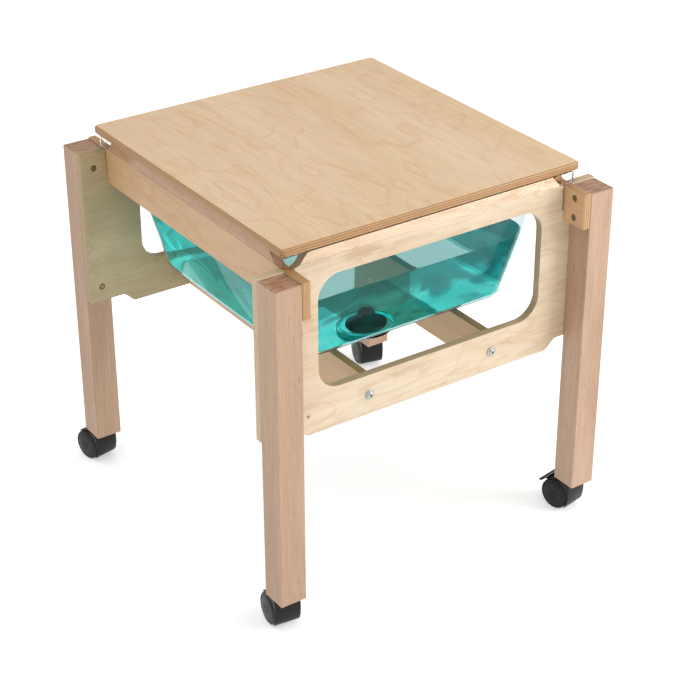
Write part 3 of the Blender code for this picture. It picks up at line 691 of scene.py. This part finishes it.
screw_mesh = build_screw()
bolt_mesh = build_bolt()
nut_mesh = build_barrel_nut()
for name in sorted(NODES):
    if name.startswith("screw_"):
        axis = 1 if name.startswith("screw_panel_") else 0
        toward = "back" if axis == 1 else "right"
        sign = 1 if toward in name.split("_") else -1
        direction = Vector((0, 0, 0))
        direction[axis] = sign
        mesh = screw_mesh.copy()
        at = head_end(name, axis, sign) - direction * GAP
        turn = Matrix.Rotation(0.4 * len(name) + at.z * 9, 4, "Z")     # no two recesses alike
        mesh.transform(pointing(at, direction) @ turn)
        add_piece("wood_" + name, mesh, SCREW_STEEL, "frame", (name,))
for slat, _ in SIDES_X:
    for side, sy in SIDES_Y:
        node = "bolt_" + slat + "_" + side
        seat = head_end(node, 1, -sy)
        seat.y -= sy * BOLT_HEAD
        mesh = bolt_mesh.copy()
        mesh.transform(pointing(seat, (0, -sy, 0)))
        add_piece("slat_" + node, mesh, ZINC, "frame", (node,))
        slat_half = half_size("slat_" + slat).y
        nut = nut_mesh.copy()
        nut.transform(pointing((seat.x, MIDDLE_Y + sy * (slat_half - NUT_IN), seat.z),
                               (1, 0, 0)))
        add_piece("barrel_nut_" + slat + "_" + side, nut, ZINC, "frame")


# ---------------------------------------------------------------- clear tub and water
def clear(name, ior, rough, lamp_tint):
    """Clear material: glass to the eye, plainly see-through to lamps."""
    shader = Shader(name, Transmission_Weight=1.0, IOR=ior)
    haze = shader.noise(shader.coords((60, 60, 60)), 3)
    shader.link(shader.span(haze, 0.3, 0.7, rough, rough * 1.6), "Roughness")
    tree = shader.tree
    lamp = shader.node("ShaderNodeBsdfTransparent", {"Color": lamp_tint})
    ray = shader.node("ShaderNodeLightPath")
    both = shader.node("ShaderNodeMixShader")
    tree.links.new(ray.outputs["Is Shadow Ray"], both.inputs[0])
    tree.links.new(shader.surface.outputs[0], both.inputs[1])
    tree.links.new(lamp.outputs[0], both.inputs[2])
    tree.links.new(both.outputs[0], tree.nodes["Material Output"].inputs["Surface"])
    return shader


TUB_LOW, TUB_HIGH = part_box("tub")
TUB_MIDDLE = (TUB_LOW + TUB_HIGH) / 2
LIP_X = half_size("tub").x
LIP_Y = half_size("tub").y
RIM_TOP_Z = TUB_HIGH.z
RIM_UNDER_Z = RIM_TOP_Z - 0.0028
LIP_THICK = 0.0024
LIP_BOTTOM_Z = 0.5475
LIP_R = 0.0065
LIP_EASE = 0.0004       # chamfers of its lower edges
RIM_ROUND = 0.0030      # outer rounding of the rim
RIM_ROLL = 0.0026       # and its inner one
RIM_STEPS = 6
TUB_TOP_X, TUB_TOP_Y = 0.2275, 0.2335
TUB_BOTTOM_X, TUB_BOTTOM_Y = 0.1870, 0.1947
TUB_BOTTOM_Z = 0.3655
TUB_WALL = 0.0030
TUB_R_TOP = 0.0420
TUB_R_BOTTOM = 0.0480
TUB_FILLET = 0.0120
FILLET_STEPS = 10
WALL_STEPS = 4
DRAFT = math.atan((TUB_TOP_X - TUB_BOTTOM_X) / (RIM_UNDER_Z - TUB_BOTTOM_Z))
RECESS_R = 0.0410
RECESS_DEPTH = 0.0070
DRAIN_R = 0.0170
TURNED_STEPS = 96       # round the drain's recess and the wheels
RECESS_FLOOR = TUB_BOTTOM_Z + TUB_WALL - RECESS_DEPTH
CUP_BOTTOM = RECESS_FLOOR - TUB_WALL
DRAIN_AT = Vector((centre("drain_nut").x, centre("drain_nut").y, 0))
WATER_TOP = 0.4650
WATER_GAP = 0.0002      # between the water and the tub
MENISCUS = ((0.0, 0.0), (-0.0008, 0.0008), (-0.0013, 0.0022), (-0.0015, 0.0040))
MENISCUS_DEPTH = 0.0016
# Both are lower than real ones: the drain was placed by straight lines through the water, so
# little refraction keeps it and the slats where the photo has them.
TUB_IOR = 1.16
WATER_IOR = 1.07


def wall_half(z):
    """Half sizes and corner radius of the tub's outer wall at a height."""
    t = (z - TUB_BOTTOM_Z) / (RIM_UNDER_Z - TUB_BOTTOM_Z)
    return (TUB_BOTTOM_X + (TUB_TOP_X - TUB_BOTTOM_X) * t,
            TUB_BOTTOM_Y + (TUB_TOP_Y - TUB_BOTTOM_Y) * t,
            TUB_R_BOTTOM + (TUB_R_TOP - TUB_R_BOTTOM) * t)


def tub_ring(half_x, half_y, radius, z):
    """Ring round the tub's middle."""
    return rounded_ring(TUB_MIDDLE, half_x, half_y, radius, z)


def skin(thickness, fillet, top_z):
    """Rings of one skin from the floor to top_z, thickness inside the outer skin."""
    side = thickness / math.cos(DRAFT)
    floor_z = TUB_BOTTOM_Z + thickness
    turn = math.pi / 2 - DRAFT
    run = fillet * math.tan(turn / 2)
    rings = []
    for i in range(FILLET_STEPS + 1):
        angle = turn * i / FILLET_STEPS
        inward = run - fillet * math.sin(angle)
        half_x, half_y, radius = wall_half(floor_z)
        rings.append(tub_ring(half_x - side - inward, half_y - side - inward,
                              radius - side - max(0.0, inward),
                              floor_z + fillet * (1 - math.cos(angle))))
    for k in range(1, WALL_STEPS + 1):
        z = floor_z + fillet + (top_z - floor_z - fillet) * k / WALL_STEPS
        half_x, half_y, radius = wall_half(z)
        rings.append(tub_ring(half_x - side, half_y - side, radius - side, z))
    return rings


def lip_ring(inset, z):
    """Ring an inset within the rim's outline."""
    return tub_ring(LIP_X - inset, LIP_Y - inset, LIP_R - inset, z)


def build_tub():
    """Tapered tub with a turned-down rim and a recess for the drain."""
    rings = skin(0.0, TUB_FILLET, RIM_UNDER_Z - 0.003)
    rings.append(tub_ring(TUB_TOP_X + 0.0006, TUB_TOP_Y + 0.0006, TUB_R_TOP, RIM_UNDER_Z))
    rings.append(lip_ring(LIP_THICK, RIM_UNDER_Z))
    rings.append(lip_ring(LIP_THICK, LIP_BOTTOM_Z + LIP_EASE))
    rings.append(lip_ring(LIP_THICK - LIP_EASE, LIP_BOTTOM_Z))
    rings.append(lip_ring(LIP_EASE, LIP_BOTTOM_Z))
    rings.append(lip_ring(0.0, LIP_BOTTOM_Z + LIP_EASE))
    for i in range(RIM_STEPS):
        angle = math.radians(90 * i / (RIM_STEPS - 1))
        rings.append(lip_ring(RIM_ROUND * (1 - math.cos(angle)),
                              RIM_TOP_Z - RIM_ROUND + RIM_ROUND * math.sin(angle)))
    for i in range(1, RIM_STEPS + 1):
        angle = math.radians(90 * i / RIM_STEPS)
        inset = RIM_ROLL * math.sin(angle) - 0.0010
        rings.append(tub_ring(TUB_TOP_X - inset, TUB_TOP_Y - inset, TUB_R_TOP - max(0, inset),
                              RIM_TOP_Z - RIM_ROLL * (1 - math.cos(angle))))
    rings += list(reversed(skin(TUB_WALL, TUB_FILLET - TUB_WALL, RIM_TOP_Z - 0.0040)))
    cup_r = RECESS_R + TUB_WALL
    cup = [(0.0, CUP_BOTTOM), (cup_r, CUP_BOTTOM), (cup_r, TUB_BOTTOM_Z + 0.0015),
           (0.0, TUB_BOTTOM_Z + 0.0015)]
    cup = lathe("cup", soften(cup, 0.0022, 5), TURNED_STEPS)
    floor_z = TUB_BOTTOM_Z + TUB_WALL
    recess = [(0.0, CUP_BOTTOM - 0.004), (DRAIN_R, CUP_BOTTOM - 0.004), (DRAIN_R, RECESS_FLOOR),
              (RECESS_R - 0.0005, RECESS_FLOOR), (RECESS_R, floor_z - 0.0002),
              (RECESS_R + 0.0022, floor_z + 0.0012), (0.0, floor_z + 0.0012)]
    recess = lathe("recess", soften(recess, 0.0018, 5), TURNED_STEPS)
    for mesh in (cup, recess):
        mesh.transform(Matrix.Translation(DRAIN_AT))
    return carve("tub_shell", loft("tub_shell", rings), [(cup, "UNION"), (recess, "DIFFERENCE")])


def build_water():
    """Water that fills the tub to its level, the drain's recess included."""
    inset = TUB_WALL + WATER_GAP
    rings = skin(inset, TUB_FILLET - inset, WATER_TOP - MENISCUS_DEPTH)
    half_x, half_y, radius = wall_half(WATER_TOP)
    side = inset / math.cos(DRAFT)
    for rise, pull in MENISCUS:
        rings.append(tub_ring(half_x - side - pull, half_y - side - pull, radius - side - pull,
                              WATER_TOP + rise))
    well = lathe("well", [(0.0, RECESS_FLOOR + WATER_GAP),
                          (RECESS_R - 0.0007, RECESS_FLOOR + WATER_GAP),
                          (RECESS_R - WATER_GAP, TUB_BOTTOM_Z + 0.0050),
                          (0.0, TUB_BOTTOM_Z + 0.0050)], TURNED_STEPS)
    well.transform(Matrix.Translation(DRAIN_AT))
    return carve("water", loft("water", rings), [(well, "UNION")])


TUB = clear("clear_tub", TUB_IOR, 0.006, (0.995, 0.99, 0.985, 1.0))
tub_height = TUB.along(2)
wet_tint = TUB.mix(TUB.span(tub_height, TUB_BOTTOM_Z + 0.002, TUB_BOTTOM_Z + 0.008),
                   srgb(96, 190, 186), srgb(212, 240, 238))
wet_tint = TUB.mix(TUB.span(TUB.facing(2), 0.88, 0.96), wet_tint, srgb(238, 246, 246))
dry_tint = TUB.mix(TUB.span(tub_height, LIP_BOTTOM_Z - 0.012, LIP_BOTTOM_Z),
                   srgb(230, 235, 236), srgb(255, 250, 248))
TUB.link(TUB.mix(TUB.span(tub_height, WATER_TOP - 0.003, WATER_TOP + 0.001), wet_tint,
                 dry_tint), "Base Color")
add_piece("tub_shell", build_tub(), TUB, "tub", ("tub",))

# The water's bent streaks and bright patches come from light refracted in it. Here they are
# painted: painted light and painted shade tint its sides, and its ends and floor glow with
# painted light. Normals are used without their sign, because it depends on the side a face is
# seen from.
WATER = clear("water_tint_and_painted_light", WATER_IOR, 0.004, (0.90, 0.98, 0.98, 1.0))
swirl = WATER.noise(WATER.coords((13, 13, 22), (3.1, 0.4, 7.7)), 1.5, 0.45, 1.8)
ripple = WATER.noise(WATER.coords((26, 26, 40), (1.3, 5.4, 2.7)), 1.0, 0.4, 2.2)
streak = WATER.math("ABSOLUTE", WATER.math("SUBTRACT", ripple, 0.5))
water_height = WATER.along(2)
end_face = WATER.span(WATER.facing(0), 0.4, 0.8)
shaded_right_end = WATER.math("MULTIPLY", end_face, WATER.span(WATER.along(0), -0.02, 0.02))
level = WATER.span(WATER.facing(2), 0.5, 0.8)
painted_shade_band = WATER.span(WATER.math("ADD", water_height, WATER.span(swirl, 0.3, 0.7, -0.02, 0.02)),
                        WATER_TOP - 0.062, WATER_TOP - 0.030)
# painted light: bright refracted patches on the water's sides
side_painted_light = WATER.mix(WATER.span(swirl, 0.52, 0.68, 0.0, 0.6), srgb(60, 240, 234),
                      srgb(30, 130, 128))
# painted highlight: thin bright streaks of refracted light
side_painted_light = WATER.mix(WATER.span(streak, 0.0, 0.022, 0.6, 0.0), side_painted_light, srgb(196, 255, 250))
# painted shade: a darker band in the upper part of the sides
side_painted_light = WATER.mix(WATER.math("MULTIPLY", painted_shade_band, 0.85), side_painted_light, srgb(22, 96, 100))
# painted shade: the right end is darker
side_painted_light = WATER.mix(WATER.math("MULTIPLY", shaded_right_end, 0.9), side_painted_light, srgb(8, 60, 64))
WATER.link(WATER.mix(level, side_painted_light, srgb(190, 195, 193)), "Base Color")
# painted light: the water's sides, ends and floor glow teal though they are no lamp, least at the
# right end
painted_glow = WATER.mix(WATER.span(swirl, 0.36, 0.60), srgb(2, 48, 46), srgb(1, 28, 27))
painted_glow = WATER.mix(end_face, painted_glow, srgb(1, 100, 96))
painted_glow = WATER.mix(shaded_right_end, painted_glow, srgb(1, 14, 16))
floor_painted_glow = WATER.mix(WATER.span(water_height, WATER_TOP - 0.060, WATER_TOP - 0.040),
                       srgb(1, 96, 92), BLACK)
painted_glow = WATER.mix(level, painted_glow, floor_painted_glow)
WATER.link(painted_glow, "Emission Color")
WATER.surface.inputs["Emission Strength"].default_value = 1.0
depth_tint = WATER.node("ShaderNodeVolumeAbsorption", {"Color": (0.10, 0.80, 0.79, 1.0),
                                                       "Density": 3.0})
WATER.tree.links.new(depth_tint.outputs[0], WATER.tree.nodes["Material Output"].inputs["Volume"])
add_piece("water", build_water(), WATER, "tub")

# ---------------------------------------------------------------- drain
PLUG_SEAT = 0.0031      # above the recess
DRAIN_SEAT = Matrix.Translation(DRAIN_AT + Vector((0, 0, RECESS_FLOOR)))
plug_profile = [(0.0, -0.0100), (0.0095, -0.0100), (0.0118, -0.0080), (0.0118, 0.0),
                (0.0292, 0.0), (0.0308, 0.0012), (0.0308, 0.0046), (0.0262, 0.0066),
                (0.0205, 0.0086), (0.0168, 0.0120), (0.0140, 0.0165, 0.30),
                (0.0128, 0.0205, 0.42), (0.0118, 0.0236, 0.44), (0.0090, 0.0258, 0.40),
                (0.0046, 0.0267, 0.20), (0.0, 0.0268)]
plug = lathe("plug", plug_profile, 120, lobes=3)
plug.transform(Matrix.Translation(DRAIN_AT + Vector((0, 0, RECESS_FLOOR + PLUG_SEAT))))
add_piece("plug_stopper", plug, RUBBER, "plug", ("drain_plug",))

FITTING_R = 0.0165
BORE_R = 0.0125
THREAD_TURNS = 7
THREAD_PITCH = 0.0014
fitting_profile = soften([(0.0280, 0.0028), (0.0285, 0.0014), (0.0270, GAP), (FITTING_R, GAP),
                          (FITTING_R, -0.0040)], 0.0006, 3)
for turn in range(THREAD_TURNS):
    fitting_profile += [(FITTING_R - 0.0007, -0.0048 - THREAD_PITCH * turn),
                        (FITTING_R, -0.0055 - THREAD_PITCH * turn)]
fitting_profile += [(FITTING_R - 0.0008, -0.0150), (BORE_R, -0.0150), (BORE_R, 0.0012),
                    (0.0140, 0.0028)]
fitting = lathe("fitting", fitting_profile, 72, ring=True)
fitting.transform(DRAIN_SEAT)
add_piece("drain_flange", fitting, DRAIN, "tub", ("drain_fitting",))

NUT_TOP = -TUB_WALL - GAP
NUT_BOTTOM = NUT_TOP - 0.0065
NUT_BORE_R = FITTING_R + 0.0004
nut_profile = [(0.0218, NUT_TOP), (0.0220, NUT_TOP - 0.0006, 0.07),
               (0.0220, NUT_TOP - 0.0056, 0.07), (0.0205, NUT_BOTTOM),
               (NUT_BORE_R, NUT_BOTTOM), (NUT_BORE_R, NUT_TOP)]
drain_nut = lathe("drain_nut", nut_profile, 144, ring=True, lobes=12)
drain_nut.transform(DRAIN_SEAT)
add_piece("drain_ring_nut", drain_nut, DRAIN, "tub", ("drain_nut",))

# ---------------------------------------------------------------- casters
WHEEL_R = 0.0245
WHEEL_IN = 0.0068       # inner and outer face, from the caster's middle
WHEEL_OUT = 0.0214
TRAIL = 0.0200          # the axle, behind the swivel
HOOD_HALF = 0.0197
HOOD_TOP = 0.0512
HOOD_R = 0.0267         # hood's outer and inner face, from the axle
HOOD_INNER_R = 0.0251
WEB_R = 0.0258          # web between the wheels
WEB_HUB_R = 0.0082
STEM_BORE_R = 0.0041
AXLE_BORE_R = 0.0032
PEDAL_HALF = 0.0232
PEDAL_SHOE_R = 0.0273   # pedal's inner and outer face, from the axle
PEDAL_BACK_R = 0.0299


def about_axle(radius, start, end, steps):
    """(y, z) points about the axle; 0 degrees is the front, 90 the top, 180 the rear."""
    return [(TRAIL - y, z) for y, z in arc(0, WHEEL_R, radius, start, end, steps)]


def build_hood():
    """Curved hood with a web between the wheels and bores for the stem and the axle."""
    outer = about_axle(HOOD_R, -39, -27, 2)
    outer += soften([(-0.0054, 0.0175), (-0.0065, 0.0240), (-0.0069, 0.0310), (-0.0066, 0.0385),
                     (-0.0058, 0.0445), (-0.0046, 0.0483), (-0.0026, 0.0504),
                     (0.0008, HOOD_TOP)], 0.0015, 3)
    outer += about_axle(HOOD_R, 90, 126, 14)
    shell = plate("hood", [outer + about_axle(HOOD_INNER_R, 126, -39, 40)], 2 * HOOD_HALF,
                  0.0007, 3)
    web = plate("web", [about_axle(WEB_R, -37, 124, 36) + about_axle(WEB_HUB_R, 160, 300, 16)],
                0.0120, 0.0005, 2)
    for mesh in (shell, web):
        mesh.transform(ACROSS_X)
    stem_bore = lathe("stem_bore", [(0.0, 0.028), (STEM_BORE_R, 0.028), (STEM_BORE_R, 0.062),
                                    (0.0, 0.062)], 32)
    axle_bore = lathe("axle_bore", [(0.0, -0.012), (AXLE_BORE_R, -0.012), (AXLE_BORE_R, 0.012),
                                    (0.0, 0.012)], 24)
    axle_bore.transform(pointing((0, TRAIL, WHEEL_R), (1, 0, 0)))
    return carve("caster_hood", shell, [(web, "UNION"), (stem_bore, "DIFFERENCE"),
                                        (axle_bore, "DIFFERENCE")])


def build_wheel():
    """Moulded wheel with a rim lip, a sunken ring, a domed hub and a closed outer face."""
    profile = [(AXLE_BORE_R, WHEEL_IN), (0.0080, WHEEL_IN), (0.0092, WHEEL_IN + 0.0020),
               (0.0190, WHEEL_IN + 0.0020), (0.0205, WHEEL_IN), (0.0226, WHEEL_IN),
               (WHEEL_R, WHEEL_IN + 0.0018), (WHEEL_R, WHEEL_OUT - 0.0040),
               (0.0240, WHEEL_OUT - 0.0022), (0.0226, WHEEL_OUT - 0.0012),
               (0.0212, WHEEL_OUT - 0.0012), (0.0207, WHEEL_OUT - 0.0019),
               (0.0199, WHEEL_OUT - 0.0019), (0.0193, WHEEL_OUT - 0.0009),
               (0.0130, WHEEL_OUT - 0.0002), (0.0080, WHEEL_OUT), (0.0060, WHEEL_OUT),
               (0.0055, WHEEL_OUT - 0.0006), (0.0048, WHEEL_OUT - 0.0006),
               (0.0042, WHEEL_OUT), (0.0, WHEEL_OUT)]
    bore_end = WHEEL_OUT - 0.0019
    return lathe("wheel", soften(profile, 0.0006, 4) + [(0.0, bore_end), (AXLE_BORE_R, bore_end)],
                 TURNED_STEPS, ring=True)


def build_pedal():
    """Brake pedal: a curved shoe over the tread with a ribbed foot plate."""
    over = [(0.0462, 0.0395), (0.0475, 0.0408), (0.0470, 0.0424), (0.0457, 0.0431),
            (0.0450, 0.0426), (0.0436, 0.0443), (0.0428, 0.0438), (0.0414, 0.0455),
            (0.0406, 0.0450), (0.0390, 0.0468), (0.0350, 0.0487)]
    outline = about_axle(PEDAL_SHOE_R, 115, 140, 12) + soften(over, 0.0005, 3)
    outline += about_axle(PEDAL_BACK_R, 115, 115.5, 1)[:1]
    mesh = plate("pedal", [outline], 2 * PEDAL_HALF, 0.0004, 2)
    mesh.transform(ACROSS_X)
    return mesh


hood_mesh = build_hood()
wheel_mesh = build_wheel()
pedal_mesh = build_pedal()
for tag in LEGS:
    swivel = Vector(JOINTS["swivel_" + tag]["pos_m"])
    across = Vector(JOINTS["spin_" + tag + "_left"]["axis"])
    place = (Matrix.Translation((swivel.x, swivel.y, 0)) @
             Matrix.Rotation(math.atan2(across.y, across.x), 4, "Z"))
    hood = hood_mesh.copy()
    hood.transform(place)
    add_piece("hood_" + tag, hood, HOOD, "swivel_" + tag, ("caster_hood_" + tag,))
    for side, sx in SIDES_X:
        wheel = wheel_mesh.copy()
        wheel.transform(place @ pointing((0, TRAIL, WHEEL_R), (sx, 0, 0)))
        add_piece("wheel_" + tag + "_" + side, wheel, WHEEL, "wheel_" + tag + "_" + side,
                  ("caster_wheel_" + tag + "_" + side,))
    if "brake_lever_" + tag in NODES:
        pedal = pedal_mesh.copy()
        pedal.transform(place)
        add_piece("pedal_" + tag, pedal, HOOD, "brake_" + tag,
                  ("brake_lever_" + tag,))


# ---------------------------------------------------------------- studio
def area_lamp(name, place, aim, size, power):
    """Soft square lamp at a place, aimed at another."""
    data = bpy.data.lights.new(name, "AREA")
    data.size = size
    data.energy = power
    lamp = bpy.data.objects.new(name, data)
    lamp.location = place
    lamp.rotation_euler = (Vector(aim) - Vector(place)).to_track_quat("-Z", "Y").to_euler()
    bpy.context.scene.collection.objects.link(lamp)


FLOOR_SIZE = 60.0
FLOOR_GLOW = 0.36
WORLD_STRENGTH = 0.72
bpy.ops.mesh.primitive_plane_add(size=FLOOR_SIZE)
floor = bpy.context.active_object
floor.name = "studio_floor"
floor_shader = Shader("studio_floor", Roughness=0.9, Emission_Strength=FLOOR_GLOW,
                      Emission_Color=WHITE)
speck = floor_shader.noise(floor_shader.coords((3, 3, 3)))
floor_shader.link(floor_shader.mix(speck, (0.93, 0.93, 0.93, 1), (0.95, 0.95, 0.95, 1)),
                  "Base Color")
floor.data.materials.append(floor_shader.mat)

world = bpy.data.worlds.new("studio")
bpy.context.scene.world = world
world.use_nodes = True
background = world.node_tree.nodes["Background"]
background.inputs["Color"].default_value = WHITE
background.inputs["Strength"].default_value = WORLD_STRENGTH
area_lamp("key", (1.9, -2.0, 1.3), (0, 0, 0.35), 1.5, 43)
area_lamp("top", (-0.3, 0.0, 2.8), (0, 0, 0.4), 2.4, 17)

# ---------------------------------------------------------------- camera
EYE = Vector((-1.3920, -2.0695, 1.6294))
HEADING = math.radians(55.31)
DOWN = math.radians(29.29)
SENSOR_MM = 36.0
LENS_MM = 96.43
camera_data = bpy.data.cameras.new("camera")
camera_data.sensor_width = SENSOR_MM
camera_data.lens = LENS_MM
camera_data.clip_end = 100.0
camera = bpy.data.objects.new("camera", camera_data)
camera.location = EYE
sight = Vector((math.cos(DOWN) * math.cos(HEADING), math.cos(DOWN) * math.sin(HEADING),
                -math.sin(DOWN)))
camera.rotation_euler = sight.to_track_quat("-Z", "Y").to_euler()
bpy.context.scene.collection.objects.link(camera)
bpy.context.scene.camera = camera
bpy.context.scene.view_settings.view_transform = "Standard"
